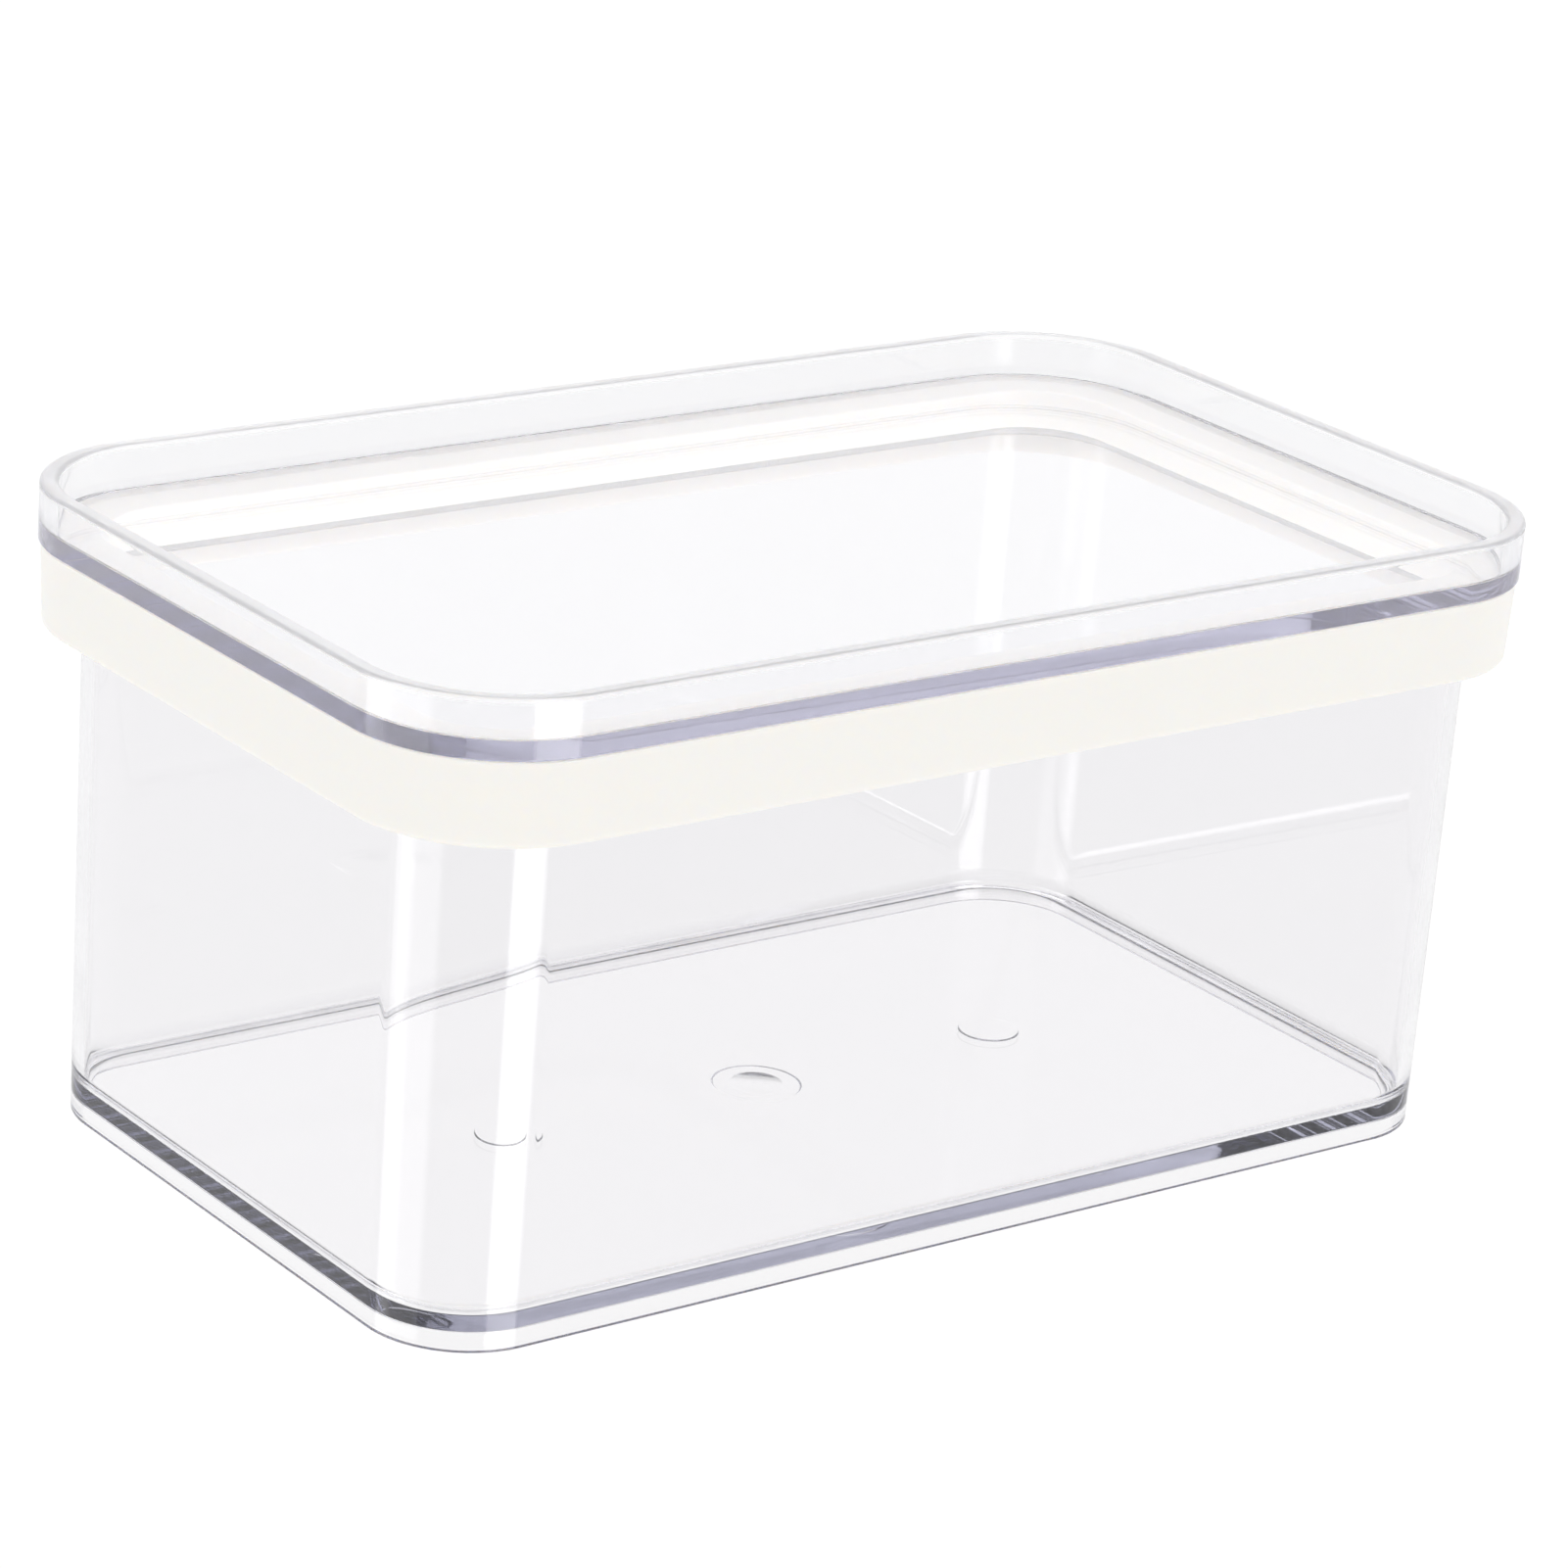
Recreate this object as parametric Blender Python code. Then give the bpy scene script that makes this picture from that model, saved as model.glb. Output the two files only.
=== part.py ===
"""Fridge bin: a clear moulded tub with a press-on lid made of a clear panel, a soft milky skirt and a finned gasket.

Metres, +Z up. The origin is at the centre of the foot ring, on the surface that the bin stands on.
+X is the long side. Every wall follows the foot's outline, moved out by an offset and rounded to match.
"""

import bpy
import bmesh
from math import cos, pi, radians, sin, tan

# Foot outline
HALF_LENGTH = 0.115
HALF_WIDTH = 0.0665
CORNER_RADIUS = 0.0190
CORNER_SEGMENTS = 9

# Heights
FOOT_HEIGHT = 0.0034
FLOOR_TOP = 0.0057
SHOULDER_HEIGHT = 0.0986
TUB_HEIGHT = 0.1062
SKIRT_BOTTOM = 0.0933
PLATE_UNDERSIDE = 0.1088
PLATE_THICKNESS = 0.0027
BIN_HEIGHT = 0.1195

# Tub
WALL = 0.0023
WALL_DRAFT = radians(0.5)
FLOOR_FILLET = 0.0032
COLLAR_STEP = 0.0038
COLLAR_WALL = 0.0018
SHOULDER_THICKNESS = 0.0018
EDGE_ROUND = 0.0005
EJECTOR_RADIUS = 0.00575
EJECTOR_SPACING = 0.0550
EJECTOR_RISE = 0.00012
GATE_WELL_RADIUS = 0.0083
GATE_WELL_DEPTH = 0.00015

# Lid
GAP = 0.0003
RIM_OFFSET = 0.0090
RIM_THICKNESS = 0.0034
RIM_EDGE_ROUND = 0.0009
PANEL_FILLET = 0.0007
SKIRT_TOP_OFFSET = 0.0085
SKIRT_BOTTOM_OFFSET = 0.0079
SKIRT_THICKNESS = 0.0024
SKIRT_EDGE_ROUND = 0.0010
FLANGE_THICKNESS = 0.0020
LIP_INNER_OFFSET = -0.0037
LIP_THICKNESS = 0.0022
LIP_BOTTOM = 0.1009
TOE_REACH = 0.0010
TOE_THICKNESS = 0.0006
GASKET_BODY = 0.0012
FIN_COUNT = 2
FIN_PITCH = 0.0020
FIN_RISE = 0.0004
FIN_ROOT = 0.0010
FIN_TIP = 0.0004

MATERIALS = {
    "clear_tub": ((0.93, 0.93, 0.95, 1.0), 0.05, 1.0),
    "clear_panel": ((0.94, 0.94, 0.96, 1.0), 0.05, 1.0),
    "milky_skirt": ((0.92, 0.91, 0.88, 1.0), 0.40, 0.3),
    "silicone_gasket": ((0.86, 0.86, 0.84, 1.0), 0.50, 0.2),
}


def remove_everything():
    for item in list(bpy.data.objects):
        bpy.data.objects.remove(item)


def make_material(name):
    colour, roughness, transmission = MATERIALS[name]
    material = bpy.data.materials.new(name)
    material.use_nodes = True
    shader = material.node_tree.nodes["Principled BSDF"]
    shader.inputs["Base Color"].default_value = colour
    shader.inputs["Roughness"].default_value = roughness
    shader.inputs["Metallic"].default_value = 0.0
    shader.inputs["Transmission Weight"].default_value = transmission
    return material


def wall_offset(height):
    """How far the tub's outer wall stands out from the foot at this height."""
    return height * tan(WALL_DRAFT)


def arc(centre_offset, centre_height, radius, start, end, steps):
    """Points of an arc in the profile plane, angles in degrees from outwards towards up."""
    angles = [radians(start + (end - start) * i / steps) for i in range(steps + 1)]
    return [(centre_offset + radius * cos(a), centre_height + radius * sin(a)) for a in angles]


def outline(offset, height):
    """The rounded rectangle of the foot, moved out by offset, as points at one height."""
    radius = CORNER_RADIUS + offset
    points = []
    for quarter, (side_x, side_y) in enumerate(((1, 1), (-1, 1), (-1, -1), (1, -1))):
        centre_x = side_x * (HALF_LENGTH - CORNER_RADIUS)
        centre_y = side_y * (HALF_WIDTH - CORNER_RADIUS)
        for i in range(CORNER_SEGMENTS + 1):
            angle = (quarter + i / CORNER_SEGMENTS) * pi / 2
            points.append((centre_x + radius * cos(angle), centre_y + radius * sin(angle), height))
    return points


def sweep(name, profile, material, capped):
    """One closed body: the profile swept round the outline, with its two ends capped or joined."""
    mesh = bpy.data.meshes.new(name)
    shape = bmesh.new()
    loops = [[shape.verts.new(p) for p in outline(offset, height)] for offset, height in profile]
    pairs = list(zip(loops, loops[1:]))
    if capped:
        shape.faces.new(loops[0])
        shape.faces.new(loops[-1])
    else:
        pairs.append((loops[-1], loops[0]))
    for lower, upper in pairs:
        for i in range(len(lower)):
            j = (i + 1) % len(lower)
            shape.faces.new((lower[i], lower[j], upper[j], upper[i]))
    bmesh.ops.recalc_face_normals(shape, faces=shape.faces)
    shape.to_mesh(mesh)
    shape.free()
    mesh.shade_smooth()
    mesh.set_sharp_from_angle(angle=radians(35))
    piece = bpy.data.objects.new(name, mesh)
    bpy.context.scene.collection.objects.link(piece)
    piece.data.materials.append(make_material(material))
    return piece


def round_tool(name, radius, low, high, x):
    """A hidden cylinder that a Boolean adds to the tub or takes out of it."""
    mesh = bpy.data.meshes.new(name)
    shape = bmesh.new()
    bmesh.ops.create_cone(shape, cap_ends=True, segments=24, radius1=radius, radius2=radius, depth=high - low)
    bmesh.ops.translate(shape, verts=shape.verts, vec=(x, 0, (low + high) / 2))
    shape.to_mesh(mesh)
    shape.free()
    tool = bpy.data.objects.new(name, mesh)
    tool.hide_render = True
    tool.display_type = "WIRE"
    bpy.context.scene.collection.objects.link(tool)
    return tool


def combine(piece, tool, operation):
    boolean = piece.modifiers.new(tool.name, "BOOLEAN")
    boolean.operation = operation
    boolean.solver = "EXACT"
    boolean.object = tool


def tub_outside():
    """Profile from the floor's underside, over the foot ring and up the outer wall to the collar's top."""
    shoulder = wall_offset(SHOULDER_HEIGHT)
    collar = shoulder + COLLAR_STEP
    profile = [(-WALL - EDGE_ROUND, FOOT_HEIGHT), (-WALL, FOOT_HEIGHT - EDGE_ROUND)]
    profile += arc(EDGE_ROUND - WALL, EDGE_ROUND, EDGE_ROUND, 180, 270, 2)
    profile += arc(-EDGE_ROUND, EDGE_ROUND, EDGE_ROUND, -90, 0, 2)
    profile += [(shoulder, SHOULDER_HEIGHT)]
    profile += arc(collar - 2 * EDGE_ROUND, SHOULDER_HEIGHT + 2 * EDGE_ROUND, 2 * EDGE_ROUND, -90, 0, 3)
    profile += arc(collar - COLLAR_WALL / 2, TUB_HEIGHT - COLLAR_WALL / 2, COLLAR_WALL / 2, 0, 180, 6)
    return profile


def tub_inside():
    """Profile from the collar's inner face, over the shoulder and down the inner wall to the floor."""
    shoulder_top = SHOULDER_HEIGHT + SHOULDER_THICKNESS
    collar_inner = wall_offset(SHOULDER_HEIGHT) + COLLAR_STEP - COLLAR_WALL
    wall_inner = wall_offset(shoulder_top) - WALL
    profile = arc(collar_inner - 2 * EDGE_ROUND, shoulder_top + 2 * EDGE_ROUND, 2 * EDGE_ROUND, 0, -90, 3)
    profile += arc(wall_inner + EDGE_ROUND, shoulder_top - EDGE_ROUND, EDGE_ROUND, 90, 180, 2)
    fillet_centre = -WALL - FLOOR_FILLET
    profile += arc(fillet_centre, FLOOR_TOP + FLOOR_FILLET, FLOOR_FILLET, 0, -90, 5)
    return profile


def build_tub():
    tub = sweep("tub", tub_outside() + tub_inside(), "clear_tub", capped=True)
    floor_middle = (FOOT_HEIGHT + FLOOR_TOP) / 2
    for name, x in (("ejector_pad_left", -EJECTOR_SPACING), ("ejector_pad_right", EJECTOR_SPACING)):
        combine(tub, round_tool(name, EJECTOR_RADIUS, floor_middle, FLOOR_TOP + EJECTOR_RISE, x), "UNION")
    well_low = FOOT_HEIGHT - GATE_WELL_DEPTH
    well = round_tool("gate_well", GATE_WELL_RADIUS, well_low, FOOT_HEIGHT + GATE_WELL_DEPTH, 0)
    combine(tub, well, "DIFFERENCE")
    return tub


def build_lid_panel():
    """A flat clear plate with an upstanding rim that a second bin's foot ring nests in."""
    plate_top = PLATE_UNDERSIDE + PLATE_THICKNESS
    rim_inner = RIM_OFFSET - RIM_THICKNESS
    round_height = BIN_HEIGHT - RIM_EDGE_ROUND
    profile = [(RIM_OFFSET - EDGE_ROUND, PLATE_UNDERSIDE), (RIM_OFFSET, PLATE_UNDERSIDE + EDGE_ROUND)]
    profile += arc(RIM_OFFSET - RIM_EDGE_ROUND, round_height, RIM_EDGE_ROUND, 0, 90, 3)
    profile += arc(rim_inner + RIM_EDGE_ROUND, round_height, RIM_EDGE_ROUND, 90, 180, 3)
    profile += arc(rim_inner - PANEL_FILLET, plate_top + PANEL_FILLET, PANEL_FILLET, 0, -90, 3)
    return sweep("lid_panel", profile, "clear_panel", capped=True)


def build_lid_skirt():
    """The soft ring under the panel: a flange, an outer skirt that hides the collar and an inner lip."""
    top = PLATE_UNDERSIDE - GAP
    flange_underside = top - FLANGE_THICKNESS
    skirt_inner = SKIRT_BOTTOM_OFFSET - SKIRT_THICKNESS
    lip_outer = LIP_INNER_OFFSET + LIP_THICKNESS
    toe = lip_outer + TOE_REACH
    profile = [(SKIRT_TOP_OFFSET - EDGE_ROUND, top), (LIP_INNER_OFFSET + EDGE_ROUND, top)]
    profile += [(LIP_INNER_OFFSET, top - EDGE_ROUND), (LIP_INNER_OFFSET, LIP_BOTTOM + EDGE_ROUND)]
    profile += [(LIP_INNER_OFFSET + EDGE_ROUND, LIP_BOTTOM), (toe, LIP_BOTTOM)]
    profile += [(toe, LIP_BOTTOM + TOE_THICKNESS), (lip_outer, LIP_BOTTOM + TOE_THICKNESS)]
    profile += [(lip_outer, flange_underside), (skirt_inner, flange_underside)]
    profile += [(skirt_inner, SKIRT_BOTTOM + EDGE_ROUND), (skirt_inner + EDGE_ROUND, SKIRT_BOTTOM)]
    round_centre = SKIRT_BOTTOM_OFFSET - SKIRT_EDGE_ROUND
    profile += arc(round_centre, SKIRT_BOTTOM + SKIRT_EDGE_ROUND, SKIRT_EDGE_ROUND, -90, 0, 3)
    profile += [(SKIRT_TOP_OFFSET, top - EDGE_ROUND)]
    return sweep("lid_skirt", profile, "milky_skirt", capped=False)


def build_seal_gasket():
    """A thin ring round the inner lip, with fins that reach towards the collar's inner face."""
    flange_underside = PLATE_UNDERSIDE - GAP - FLANGE_THICKNESS
    inner = LIP_INNER_OFFSET + LIP_THICKNESS + GAP
    outer = inner + GASKET_BODY
    bottom = LIP_BOTTOM + TOE_THICKNESS + GAP
    top = flange_underside - GAP
    collar_inner = wall_offset(SHOULDER_HEIGHT) + COLLAR_STEP - COLLAR_WALL
    fin_end = collar_inner - GAP
    fins_height = (FIN_COUNT - 1) * FIN_PITCH + FIN_ROOT
    first_fin = (bottom + top - fins_height) / 2
    profile = [(inner, top), (inner, bottom), (outer, bottom)]
    for i in range(FIN_COUNT):
        root = first_fin + i * FIN_PITCH
        tip = root + FIN_RISE + (FIN_ROOT - FIN_TIP) / 2
        profile += [(outer, root), (fin_end, tip), (fin_end, tip + FIN_TIP), (outer, root + FIN_ROOT)]
    profile += [(outer, top)]
    return sweep("seal_gasket", profile, "silicone_gasket", capped=False)


def main():
    remove_everything()
    build_tub()
    build_lid_panel()
    build_lid_skirt()
    build_seal_gasket()


main()
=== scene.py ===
"""Fridge bin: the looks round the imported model.

A crystal-clear moulded tub, a clear lid panel, a milky soft skirt under it and a silicone gasket.
Metres, +Z up. Every piece is a profile swept round the rounded rectangle of the foot.
"""

from math import atan2, ceil, cos, hypot, pi, radians, sin, tan

import bmesh
import bpy
from mathutils import Matrix, Vector


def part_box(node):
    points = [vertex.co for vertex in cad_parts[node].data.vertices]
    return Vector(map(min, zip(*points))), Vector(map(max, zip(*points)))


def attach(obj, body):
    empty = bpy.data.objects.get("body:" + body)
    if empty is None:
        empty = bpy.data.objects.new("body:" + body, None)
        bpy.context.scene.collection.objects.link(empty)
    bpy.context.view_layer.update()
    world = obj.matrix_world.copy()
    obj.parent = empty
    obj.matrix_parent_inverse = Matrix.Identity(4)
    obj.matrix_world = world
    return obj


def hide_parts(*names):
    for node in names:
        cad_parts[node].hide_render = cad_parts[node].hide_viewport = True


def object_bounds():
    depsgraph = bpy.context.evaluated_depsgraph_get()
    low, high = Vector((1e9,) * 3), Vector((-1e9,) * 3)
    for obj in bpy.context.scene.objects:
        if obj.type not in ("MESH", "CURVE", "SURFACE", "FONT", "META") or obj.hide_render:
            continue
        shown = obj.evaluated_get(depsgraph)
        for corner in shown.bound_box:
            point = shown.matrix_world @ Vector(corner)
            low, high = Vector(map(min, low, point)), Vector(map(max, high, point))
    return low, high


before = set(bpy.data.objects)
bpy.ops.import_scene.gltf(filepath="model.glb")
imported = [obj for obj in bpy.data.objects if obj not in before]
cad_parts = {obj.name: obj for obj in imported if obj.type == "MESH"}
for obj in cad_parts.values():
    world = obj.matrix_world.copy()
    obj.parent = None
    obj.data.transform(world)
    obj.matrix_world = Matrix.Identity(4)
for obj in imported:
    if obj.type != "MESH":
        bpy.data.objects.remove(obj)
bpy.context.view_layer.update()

# Places read from the frame
TUB_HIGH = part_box("tub")[1]
PANEL_LOW, PANEL_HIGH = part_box("lid_panel")
SKIRT_LOW, SKIRT_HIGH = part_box("lid_skirt")
GASKET_LOW, GASKET_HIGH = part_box("seal_gasket")

# Foot outline: the tub's widest part is its collar, so the foot is the collar less its offset
WALL_DRAFT = radians(0.5)
SHOULDER_HEIGHT = 0.0986
COLLAR_STEP = 0.0038
COLLAR_OFFSET = SHOULDER_HEIGHT * tan(WALL_DRAFT) + COLLAR_STEP
HALF_LENGTH = TUB_HIGH.x - COLLAR_OFFSET
HALF_WIDTH = TUB_HIGH.y - COLLAR_OFFSET
CORNER_RADIUS = 0.0190

# Tub
WALL = 0.0023
FOOT_HEIGHT = 0.0034
FLOOR_TOP = 0.0057
FLOOR_FILLET = 0.0032
FOOT_ROUND = 0.0005
COLLAR_WALL = 0.0018
SHOULDER_THICKNESS = 0.0018
SHOULDER_ROUND = 0.0010
EJECTOR_RADIUS = 0.00575
EJECTOR_SPACING = 0.0550
EJECTOR_RISE = 0.00012
GATE_WELL_RADIUS = 0.0083
GATE_WELL_DEPTH = 0.00015
GATE_DIMPLE_RADIUS = 0.0053
GATE_DIMPLE_DEPTH = 0.00025
GATE_DIMPLE_STEPS = 12
RIM_ROUND_SHARE = 0.49

# Lid
PLATE_THICKNESS = 0.0027
RIM_THICKNESS = 0.0034
PANEL_FILLET = 0.0007
PLATE_EDGE_ROUND = 0.0003
RIM_EDGE_ROUND = 0.0009
PANEL_FLAT_INSET = 0.02
SKIRT_TAPER = 0.0006
SKIRT_THICKNESS = 0.0024
SKIRT_EDGE_ROUND = 0.0010
FLANGE_THICKNESS = 0.0020
LIP_INNER_OFFSET = -0.0037
LIP_THICKNESS = 0.0022
LIP_BOTTOM = 0.1009
TOE_REACH = 0.0010
TOE_THICKNESS = 0.0006
TOE_ROUND = TOE_THICKNESS * 0.4
SOFT_ROUND = 0.0004
GASKET_BODY = 0.0012
FIN_COUNT = 2
FIN_PITCH = 0.0020
FIN_RISE = 0.0004
FIN_ROOT = 0.0010
FIN_TIP = 0.0004
FIN_ROUND = 0.00015
GAP = 0.0003

# Clear plastic: tint, clarity, and the colour and density that its depth absorbs
TUB_PLASTIC = ((0.97, 0.965, 0.97), 0.993, (0.45, 0.455, 0.61), 10.0)
PANEL_PLASTIC = ((0.99, 0.99, 0.995), 0.95, (0.62, 0.61, 0.77), 10.0)
CLEAR_IOR = 1.57
HAZE_SCALE = 60.0
HAZE_ROUGHNESS = 0.015
SATIN_ROUGHNESS = 0.3
SATIN_CLARITY = 0.58

# Soft plastic: colour, roughness and how deep light scatters in it
SKIRT_PLASTIC = ((0.97, 0.90, 0.86), 0.4, 0.0008)
GASKET_SILICONE = ((0.90, 0.90, 0.88), 0.5, 0.003)
SOFT_IOR = 1.5
SCATTER_RADII = (1.0, 0.9, 0.75)
GRAIN_SCALE = 900.0
GRAIN_ROUGHNESS = 0.05
GRAIN_STRENGTH = 0.1
GRAIN_DEPTH = 0.0001

# The middle of a noise texture's output, which the materials stretch to their own range
NOISE_DETAIL = 2.0
NOISE_LOW = 0.3
NOISE_HIGH = 0.7

# Mesh fineness
CORNER_STEPS = 40
ARC_STEP = radians(10)
SUPPORT = 0.0003
LONG_STRETCH = 4 * SUPPORT
MARK_STEPS = 64

# Camera
FILM_WIDTH = 36.0
LENS = 130.9
AZIMUTH = radians(-37.82)
ELEVATION = radians(19.79)
ROLL = radians(4.435)
DISTANCE = 1.0436
AIM_HEIGHT = 0.0575
AIM_RIGHT = 0.0020
AIM_UP = 0.0061

# White table
TABLE_HALF = 3.0
TABLE_GAP = 0.0001
TABLE_COLOUR = (0.12, 0.12, 0.12)
TABLE_ROUGHNESS = 0.6
TABLE_GLOW = 0.92

# Studio: the light changes from the camera's side to the far side between these two places, given
# as the cosine of the angle from straight away from the camera
CAMERA_SIDE_LIGHT = 0.75
FAR_SIDE_LIGHT = 0.98
CAMERA_SIDE_END = -0.8
FAR_SIDE_START = 0.5

# Softboxes: azimuth, half width, lowest and highest elevation in degrees, and strength
SOFTBOX_EDGE = 3.0
SOFTBOXES = (
    (52, 100, 8, 50, 0.16),
    (0, 180, 50, 90, 0.65),
    (236, 58, 18, 60, 0.62),
    (280, 16, -50, -4, 2.6),
    (148, 9, -50, -4, 1.5),
    (174, 17, -50, -4, 0.7),
)

# Light paths through many clear surfaces
MAX_BOUNCES = 48
CLEAR_BOUNCES = 40


# ---------- mesh helpers ----------

def rounded(corners, closed=False):
    """Points of a path through (offset, height, radius) corners, each turned with its own arc."""
    points = []
    count = len(corners)
    for i, (x, y, radius) in enumerate(corners):
        if radius == 0 or (not closed and i in (0, count - 1)):
            points.append((x, y))
            continue
        before = Vector(corners[i - 1][:2]) - Vector((x, y))
        after = Vector(corners[(i + 1) % count][:2]) - Vector((x, y))
        before.normalize()
        after.normalize()
        half = before.angle(after) / 2
        middle = Vector((x, y)) + (before + after).normalized() * radius / sin(half)
        first = Vector((x, y)) + before * radius / tan(half) - middle
        last = Vector((x, y)) + after * radius / tan(half) - middle
        start = atan2(first.y, first.x)
        turn = (atan2(last.y, last.x) - start + pi) % (2 * pi) - pi
        steps = max(3, ceil(abs(turn) / ARC_STEP))
        for k in range(steps + 1):
            angle = start + turn * k / steps
            points.append((middle.x + radius * cos(angle), middle.y + radius * sin(angle)))
    return points


def supported(points, closed=False):
    """The same path with a point near each end of its long stretches, to keep flat faces flat."""
    result = []
    count = len(points)
    for i, point in enumerate(points):
        result.append(point)
        if not closed and i == count - 1:
            break
        following = points[(i + 1) % count]
        length = hypot(following[0] - point[0], following[1] - point[1])
        if length < LONG_STRETCH:
            continue
        for share in (SUPPORT / length, 1 - SUPPORT / length):
            result.append(tuple(a + (b - a) * share for a, b in zip(point, following)))
    return result


def outline(offset, height):
    """The foot's rounded rectangle moved out by offset, with support points beside its corners."""
    radius = CORNER_RADIUS + offset
    points = []
    for quarter, (side_x, side_y) in enumerate(((1, 1), (-1, 1), (-1, -1), (1, -1))):
        centre_x = side_x * (HALF_LENGTH - CORNER_RADIUS)
        centre = Vector((centre_x, side_y * (HALF_WIDTH - CORNER_RADIUS)))
        angles = [(quarter + i / CORNER_STEPS) * pi / 2 for i in range(CORNER_STEPS + 1)]
        arc = [centre + radius * Vector((cos(a), sin(a))) for a in angles]
        into = SUPPORT * Vector((cos(angles[0] - pi / 2), sin(angles[0] - pi / 2)))
        out = SUPPORT * Vector((cos(angles[-1] + pi / 2), sin(angles[-1] + pi / 2)))
        arc = [arc[0] + into] + arc + [arc[-1] + out]
        points += [(p.x, p.y, height) for p in arc]
    return points


def bridge(shape, lower, upper):
    for i in range(len(lower)):
        j = (i + 1) % len(lower)
        shape.faces.new((lower[i], lower[j], upper[j], upper[i]))


def loop_edges(shape, loop):
    pairs = zip(loop, loop[1:] + loop[:1])
    return [shape.edges.get(pair) or shape.edges.new(pair) for pair in pairs]


def turned_mark(shape, centre_x, profile):
    """A round mark in a flat face, as (radius, height) rings from the outside to the middle."""
    rings = []
    angles = [2 * pi * i / MARK_STEPS for i in range(MARK_STEPS)]
    for radius, height in profile[:-1]:
        points = [(centre_x + radius * cos(a), radius * sin(a), height) for a in angles]
        rings.append([shape.verts.new(point) for point in points])
    for outer, inner in zip(rings, rings[1:]):
        bridge(shape, outer, inner)
    middle = shape.verts.new((centre_x, 0, profile[-1][1]))
    last = rings[-1]
    for i in range(MARK_STEPS):
        shape.faces.new((last[i], last[(i + 1) % MARK_STEPS], middle))
    return rings[0]


def close_flat(shape, loop, marks):
    """Fills a flat loop round the marks in it."""
    if not marks:
        shape.faces.new(loop)
        return
    edges = loop_edges(shape, loop)
    for mark in marks:
        edges += loop_edges(shape, mark)
    bmesh.ops.triangle_fill(shape, use_beauty=True, edges=edges)


def finish_piece(name, shape, body, node, material):
    bmesh.ops.recalc_face_normals(shape, faces=shape.faces)
    mesh = bpy.data.meshes.new(name)
    shape.to_mesh(mesh)
    shape.free()
    mesh.shade_smooth()
    piece = bpy.data.objects.new(name, mesh)
    bpy.context.scene.collection.objects.link(piece)
    mesh.materials.append(material)
    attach(piece, body)
    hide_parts(node)
    return piece


def swept(profile, closed, marks=None):
    """A mesh of the profile round the outline, with the round marks of its first and last face."""
    shape = bmesh.new()
    path = supported(profile, closed)
    loops = [[shape.verts.new(p) for p in outline(offset, height)] for offset, height in path]
    for lower, upper in zip(loops, loops[1:]):
        bridge(shape, lower, upper)
    if closed:
        bridge(shape, loops[-1], loops[0])
        return shape
    first_marks, last_marks = marks or ([], [])
    close_flat(shape, loops[0], [turned_mark(shape, x, rings) for x, rings in first_marks])
    close_flat(shape, loops[-1], [turned_mark(shape, x, rings) for x, rings in last_marks])
    return shape


# ---------- pieces ----------

def wall_offset(height):
    return height * tan(WALL_DRAFT)


def ejector_mark():
    """A low round pad that the ejector pin left on the floor's top."""
    top = FLOOR_TOP + EJECTOR_RISE
    edge = EJECTOR_RISE / 2
    return [
        (EJECTOR_RADIUS + SUPPORT, FLOOR_TOP),
        (EJECTOR_RADIUS + edge, FLOOR_TOP),
        (EJECTOR_RADIUS, FLOOR_TOP + edge),
        (EJECTOR_RADIUS - edge, top),
        (EJECTOR_RADIUS - SUPPORT, top),
        (0, top),
    ]


def gate_mark():
    """The moulding gate under the floor: a shallow well with a deeper dimple in its middle."""
    well = FOOT_HEIGHT + GATE_WELL_DEPTH
    edge = GATE_WELL_DEPTH / 2
    rings = [
        (GATE_WELL_RADIUS + SUPPORT, FOOT_HEIGHT),
        (GATE_WELL_RADIUS + edge, FOOT_HEIGHT),
        (GATE_WELL_RADIUS, FOOT_HEIGHT + edge),
        (GATE_WELL_RADIUS - edge, well),
        (GATE_WELL_RADIUS - SUPPORT, well),
        (GATE_DIMPLE_RADIUS + SUPPORT, well),
    ]
    for i in range(GATE_DIMPLE_STEPS + 1):
        share = i / GATE_DIMPLE_STEPS
        radius = GATE_DIMPLE_RADIUS * (1 - share)
        rings.append((radius, well + GATE_DIMPLE_DEPTH * (1 - (1 - share) ** 2)))
    return rings


def build_tub(material):
    shoulder = wall_offset(SHOULDER_HEIGHT)
    shoulder_top = SHOULDER_HEIGHT + SHOULDER_THICKNESS
    wall_inner = wall_offset(shoulder_top) - WALL
    rim_round = COLLAR_WALL * RIM_ROUND_SHARE
    corners = [
        (-WALL - LONG_STRETCH, FOOT_HEIGHT, 0),
        (-WALL, FOOT_HEIGHT, FOOT_ROUND),
        (-WALL, 0, FOOT_ROUND),
        (0, 0, FOOT_ROUND),
        (shoulder, SHOULDER_HEIGHT, FOOT_ROUND),
        (COLLAR_OFFSET, SHOULDER_HEIGHT, SHOULDER_ROUND),
        (COLLAR_OFFSET, TUB_HIGH.z, rim_round),
        (COLLAR_OFFSET - COLLAR_WALL, TUB_HIGH.z, rim_round),
        (COLLAR_OFFSET - COLLAR_WALL, shoulder_top, SHOULDER_ROUND),
        (wall_inner, shoulder_top, FOOT_ROUND),
        (-WALL, FLOOR_TOP, FLOOR_FILLET),
        (-WALL - FLOOR_FILLET - LONG_STRETCH, FLOOR_TOP, 0),
    ]
    ejector_marks = [(side * EJECTOR_SPACING, ejector_mark()) for side in (-1, 1)]
    shape = swept(rounded(corners), False, ([(0, gate_mark())], ejector_marks))
    return finish_piece("tub_clear", shape, "bin", "tub", material)


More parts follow.
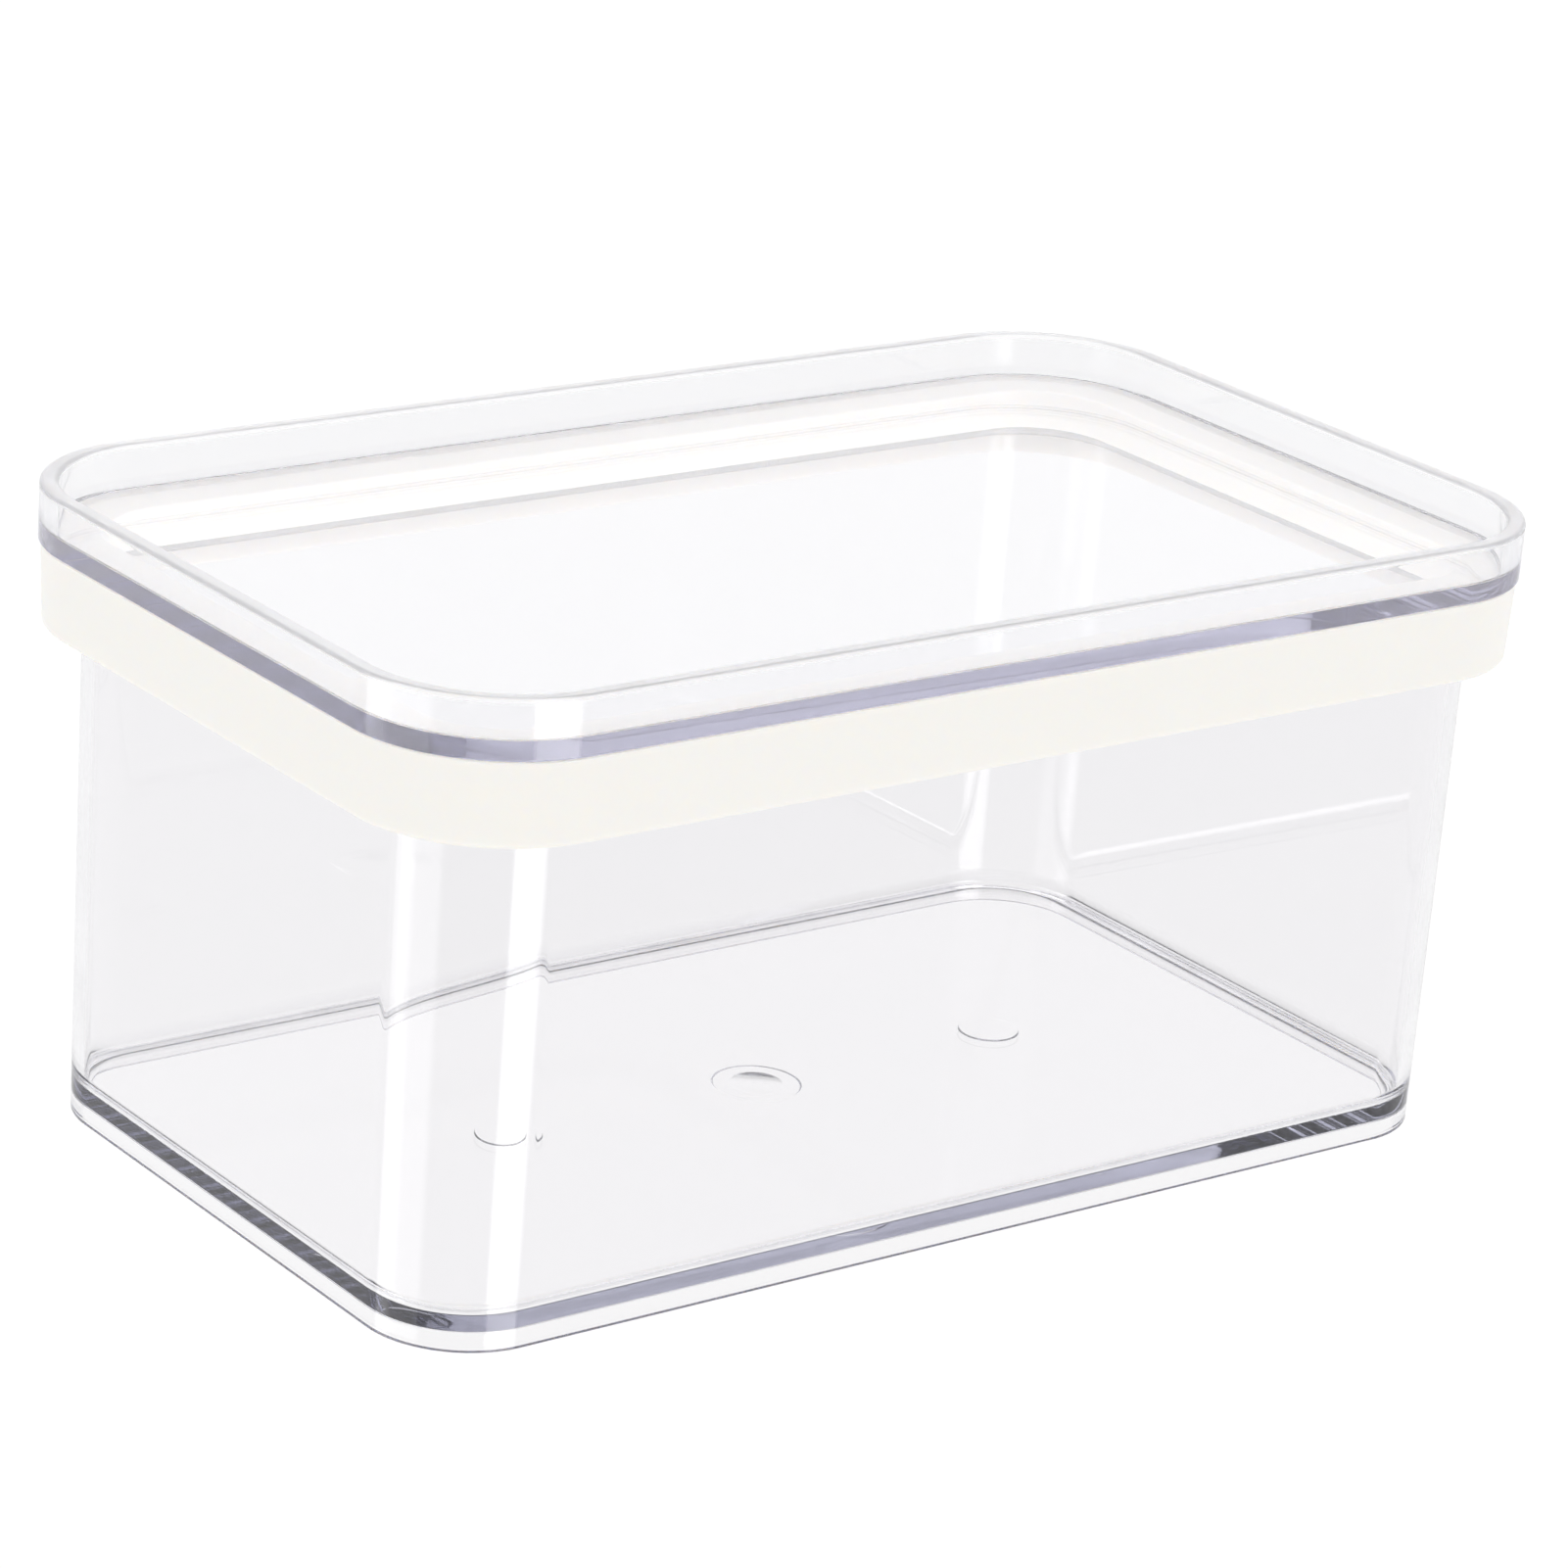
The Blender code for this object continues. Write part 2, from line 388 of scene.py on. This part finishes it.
def build_lid_panel(material):
    rim = PANEL_HIGH.x - HALF_LENGTH
    plate_top = PANEL_LOW.z + PLATE_THICKNESS
    flat_end = rim - PANEL_FLAT_INSET
    corners = [
        (flat_end, PANEL_LOW.z, 0),
        (rim, PANEL_LOW.z, PLATE_EDGE_ROUND),
        (rim, PANEL_HIGH.z, RIM_EDGE_ROUND),
        (rim - RIM_THICKNESS, PANEL_HIGH.z, RIM_EDGE_ROUND),
        (rim - RIM_THICKNESS, plate_top, PANEL_FILLET),
        (flat_end, plate_top, 0),
    ]
    shape = swept(rounded(corners), False)
    return finish_piece("lid_panel_clear", shape, "lid", "lid_panel", material)


def build_lid_skirt(material):
    top = SKIRT_HIGH.z
    outer = SKIRT_HIGH.x - HALF_LENGTH
    outer_bottom = outer - SKIRT_TAPER
    skirt_inner = outer_bottom - SKIRT_THICKNESS
    flange_underside = top - FLANGE_THICKNESS
    lip_outer = LIP_INNER_OFFSET + LIP_THICKNESS
    toe = lip_outer + TOE_REACH
    corners = [
        (outer, top, SOFT_ROUND),
        (LIP_INNER_OFFSET, top, SOFT_ROUND),
        (LIP_INNER_OFFSET, LIP_BOTTOM, SOFT_ROUND),
        (toe, LIP_BOTTOM, TOE_ROUND),
        (toe, LIP_BOTTOM + TOE_THICKNESS, TOE_ROUND),
        (lip_outer, LIP_BOTTOM + TOE_THICKNESS, TOE_ROUND),
        (lip_outer, flange_underside, SOFT_ROUND),
        (skirt_inner, flange_underside, SOFT_ROUND),
        (skirt_inner, SKIRT_LOW.z, SOFT_ROUND),
        (outer_bottom, SKIRT_LOW.z, SKIRT_EDGE_ROUND),
    ]
    shape = swept(rounded(corners, closed=True), True)
    return finish_piece("lid_skirt_milky", shape, "lid", "lid_skirt", material)


def build_seal_gasket(material):
    inner = LIP_INNER_OFFSET + LIP_THICKNESS + GAP
    outer = inner + GASKET_BODY
    fin_end = GASKET_HIGH.x - HALF_LENGTH
    bottom, top = GASKET_LOW.z, GASKET_HIGH.z
    first_fin = (bottom + top - (FIN_COUNT - 1) * FIN_PITCH - FIN_ROOT) / 2
    corners = [(inner, top, FIN_ROUND), (inner, bottom, FIN_ROUND), (outer, bottom, FIN_ROUND)]
    for i in range(FIN_COUNT):
        root = first_fin + i * FIN_PITCH
        tip = root + FIN_RISE + (FIN_ROOT - FIN_TIP) / 2
        corners += [
            (outer, root, FIN_ROUND), (fin_end, tip, FIN_ROUND),
            (fin_end, tip + FIN_TIP, FIN_ROUND), (outer, root + FIN_ROOT, FIN_ROUND),
        ]
    corners.append((outer, top, FIN_ROUND))
    shape = swept(rounded(corners, closed=True), True)
    name = "seal_gasket_silicone"
    return finish_piece(name, shape, "lid", "seal_gasket", material)


# ---------- materials ----------

def new_material(name):
    material = bpy.data.materials.new(name)
    material.use_nodes = True
    tree = material.node_tree
    return material, tree, tree.nodes["Principled BSDF"], tree.nodes["Material Output"]


def noise(tree, scale):
    place = tree.nodes.new("ShaderNodeTexCoord")
    texture = tree.nodes.new("ShaderNodeTexNoise")
    texture.inputs["Scale"].default_value = scale
    texture.inputs["Detail"].default_value = NOISE_DETAIL
    tree.links.new(place.outputs["Object"], texture.inputs["Vector"])
    return texture


def spread(tree, source, low, high):
    node = tree.nodes.new("ShaderNodeMapRange")
    node.inputs["From Min"].default_value = NOISE_LOW
    node.inputs["From Max"].default_value = NOISE_HIGH
    node.inputs["To Min"].default_value = low
    node.inputs["To Max"].default_value = high
    tree.links.new(source, node.inputs["Value"])
    return node.outputs["Result"]


def clear_plastic(name, tint, clarity, depth_colour, depth_density, satin_above=None):
    """Polished clear plastic, with the satin of an unpolished mould above satin_above."""
    material, tree, shader, output = new_material(name)
    shader.inputs["Base Color"].default_value = (*tint, 1)
    shader.inputs["Transmission Weight"].default_value = clarity
    shader.inputs["IOR"].default_value = CLEAR_IOR
    haze = noise(tree, HAZE_SCALE)
    roughness = spread(tree, haze.outputs["Fac"], 0.0, HAZE_ROUGHNESS)
    if satin_above is not None:
        place = tree.nodes.new("ShaderNodeTexCoord")
        parts = tree.nodes.new("ShaderNodeSeparateXYZ")
        tree.links.new(place.outputs["Object"], parts.inputs["Vector"])
        ends = (satin_above - SUPPORT, satin_above + SUPPORT)
        satin = smooth(tree, parts.outputs["Z"], *ends, 0.0, SATIN_ROUGHNESS)
        roughness = math_node(tree, "MAXIMUM", roughness, satin)
        clear = smooth(tree, parts.outputs["Z"], *ends, clarity, SATIN_CLARITY)
        tree.links.new(clear, shader.inputs["Transmission Weight"])
    tree.links.new(roughness, shader.inputs["Roughness"])
    depth = tree.nodes.new("ShaderNodeVolumeAbsorption")
    depth.inputs["Color"].default_value = (*depth_colour, 1)
    depth.inputs["Density"].default_value = depth_density
    tree.links.new(depth.outputs["Volume"], output.inputs["Volume"])
    return material


def soft_plastic(name, colour, roughness, depth):
    material, tree, shader, _ = new_material(name)
    shader.inputs["Base Color"].default_value = (*colour, 1)
    shader.inputs["IOR"].default_value = SOFT_IOR
    shader.inputs["Subsurface Weight"].default_value = 1.0
    shader.inputs["Subsurface Radius"].default_value = SCATTER_RADII
    shader.inputs["Subsurface Scale"].default_value = depth
    grain = noise(tree, GRAIN_SCALE)
    ends = (roughness - GRAIN_ROUGHNESS, roughness + GRAIN_ROUGHNESS)
    tree.links.new(spread(tree, grain.outputs["Fac"], *ends), shader.inputs["Roughness"])
    bump = tree.nodes.new("ShaderNodeBump")
    bump.inputs["Strength"].default_value = GRAIN_STRENGTH
    bump.inputs["Distance"].default_value = GRAIN_DEPTH
    tree.links.new(grain.outputs["Fac"], bump.inputs["Height"])
    tree.links.new(bump.outputs["Normal"], shader.inputs["Normal"])
    return material


# ---------- stage ----------

def build_floor():
    """A white table that the camera and the milky parts see, but not reflections or refractions."""
    mesh = bpy.data.meshes.new("floor")
    turns = ((-1, -1), (1, -1), (1, 1), (-1, 1))
    corners = [(x * TABLE_HALF, y * TABLE_HALF, 0) for x, y in turns]
    mesh.from_pydata(corners, [], [(0, 1, 2, 3)])
    floor = bpy.data.objects.new("floor", mesh)
    bpy.context.scene.collection.objects.link(floor)
    material, _, shader, _ = new_material("white_table")
    shader.inputs["Base Color"].default_value = (*TABLE_COLOUR, 1)
    shader.inputs["Roughness"].default_value = TABLE_ROUGHNESS
    shader.inputs["Specular IOR Level"].default_value = 0.0
    shader.inputs["Emission Color"].default_value = (1, 1, 1, 1)
    shader.inputs["Emission Strength"].default_value = TABLE_GLOW
    mesh.materials.append(material)
    floor.location.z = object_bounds()[0][2] - TABLE_GAP
    floor.visible_glossy = False
    floor.visible_transmission = False


def math_node(tree, operation, *values):
    node = tree.nodes.new("ShaderNodeMath")
    node.operation = operation
    for socket, value in zip(node.inputs, values):
        if isinstance(value, (int, float)):
            socket.default_value = value
        else:
            tree.links.new(value, socket)
    return node.outputs["Value"]


def softbox(tree, azimuth, height, centre, half_width, low, high, strength):
    """Extra light from a soft-edged patch of the studio. The azimuth runs from +X towards +Y."""
    turned = math_node(tree, "SUBTRACT", azimuth, radians(centre))
    apart = math_node(tree, "ABSOLUTE", math_node(tree, "WRAP", turned, pi, -pi))
    edge = radians(SOFTBOX_EDGE)
    across = smooth(tree, apart, radians(half_width) + edge, radians(half_width) - edge)
    above = smooth(tree, height, sin(radians(low) - edge), sin(radians(low) + edge))
    below = smooth(tree, height, sin(radians(high) + edge), sin(radians(high) - edge))
    patch = math_node(tree, "MULTIPLY", math_node(tree, "MULTIPLY", across, above), below)
    return math_node(tree, "MULTIPLY", patch, strength)


def smooth(tree, value, start, end, low=0.0, high=1.0):
    node = tree.nodes.new("ShaderNodeMapRange")
    node.interpolation_type = "SMOOTHSTEP"
    tree.links.new(value, node.inputs["Value"])
    for name, number in zip(("From Min", "From Max", "To Min", "To Max"), (start, end, low, high)):
        node.inputs[name].default_value = number
    return node.outputs["Result"]


def build_world():
    """White all round, dimmer on the camera's side, with softboxes added."""
    world = bpy.data.worlds.new("studio")
    bpy.context.scene.world = world
    world.use_nodes = True
    tree = world.node_tree
    background = tree.nodes["Background"]
    background.inputs["Color"].default_value = (1, 1, 1, 1)
    place = tree.nodes.new("ShaderNodeTexCoord")
    parts = tree.nodes.new("ShaderNodeSeparateXYZ")
    tree.links.new(place.outputs["Generated"], parts.inputs["Vector"])
    height = parts.outputs["Z"]
    azimuth = math_node(tree, "ARCTAN2", parts.outputs["Y"], parts.outputs["X"])
    facing = tree.nodes.new("ShaderNodeVectorMath")
    facing.operation = "DOT_PRODUCT"
    facing.inputs[1].default_value = (-sin(AZIMUTH), cos(AZIMUTH), 0.0)
    tree.links.new(place.outputs["Generated"], facing.inputs[0])
    ends = (CAMERA_SIDE_END, FAR_SIDE_START, CAMERA_SIDE_LIGHT, FAR_SIDE_LIGHT)
    light = smooth(tree, facing.outputs["Value"], *ends)
    for box in SOFTBOXES:
        light = math_node(tree, "ADD", light, softbox(tree, azimuth, height, *box))
    tree.links.new(light, background.inputs["Strength"])


def build_camera():
    back = Vector((sin(AZIMUTH) * cos(ELEVATION), -cos(AZIMUTH) * cos(ELEVATION), sin(ELEVATION)))
    level = Vector((cos(AZIMUTH), sin(AZIMUTH), 0))
    upright = back.cross(level)
    right = level * cos(ROLL) + upright * sin(ROLL)
    up = upright * cos(ROLL) - level * sin(ROLL)
    place = Vector((0, 0, AIM_HEIGHT)) + back * DISTANCE + right * AIM_RIGHT + up * AIM_UP
    data = bpy.data.cameras.new("camera")
    data.sensor_width = FILM_WIDTH
    data.lens = LENS
    camera = bpy.data.objects.new("camera", data)
    turn = Matrix((right, up, back)).transposed().to_4x4()
    camera.matrix_world = Matrix.Translation(place) @ turn
    bpy.context.scene.collection.objects.link(camera)
    bpy.context.scene.camera = camera


def main():
    scene = bpy.context.scene
    scene.view_settings.view_transform = "Standard"
    scene.cycles.max_bounces = MAX_BOUNCES
    scene.cycles.glossy_bounces = CLEAR_BOUNCES
    scene.cycles.transmission_bounces = CLEAR_BOUNCES
    scene.cycles.blur_glossy = 0.0
    build_camera()
    build_floor()
    build_world()
    build_tub(clear_plastic("clear_tub", *TUB_PLASTIC))
    rim_round = PANEL_HIGH.z - RIM_EDGE_ROUND
    build_lid_panel(clear_plastic("clear_panel", *PANEL_PLASTIC, rim_round))
    build_lid_skirt(soft_plastic("milky_skirt", *SKIRT_PLASTIC))
    build_seal_gasket(soft_plastic("silicone_gasket", *GASKET_SILICONE))


main()
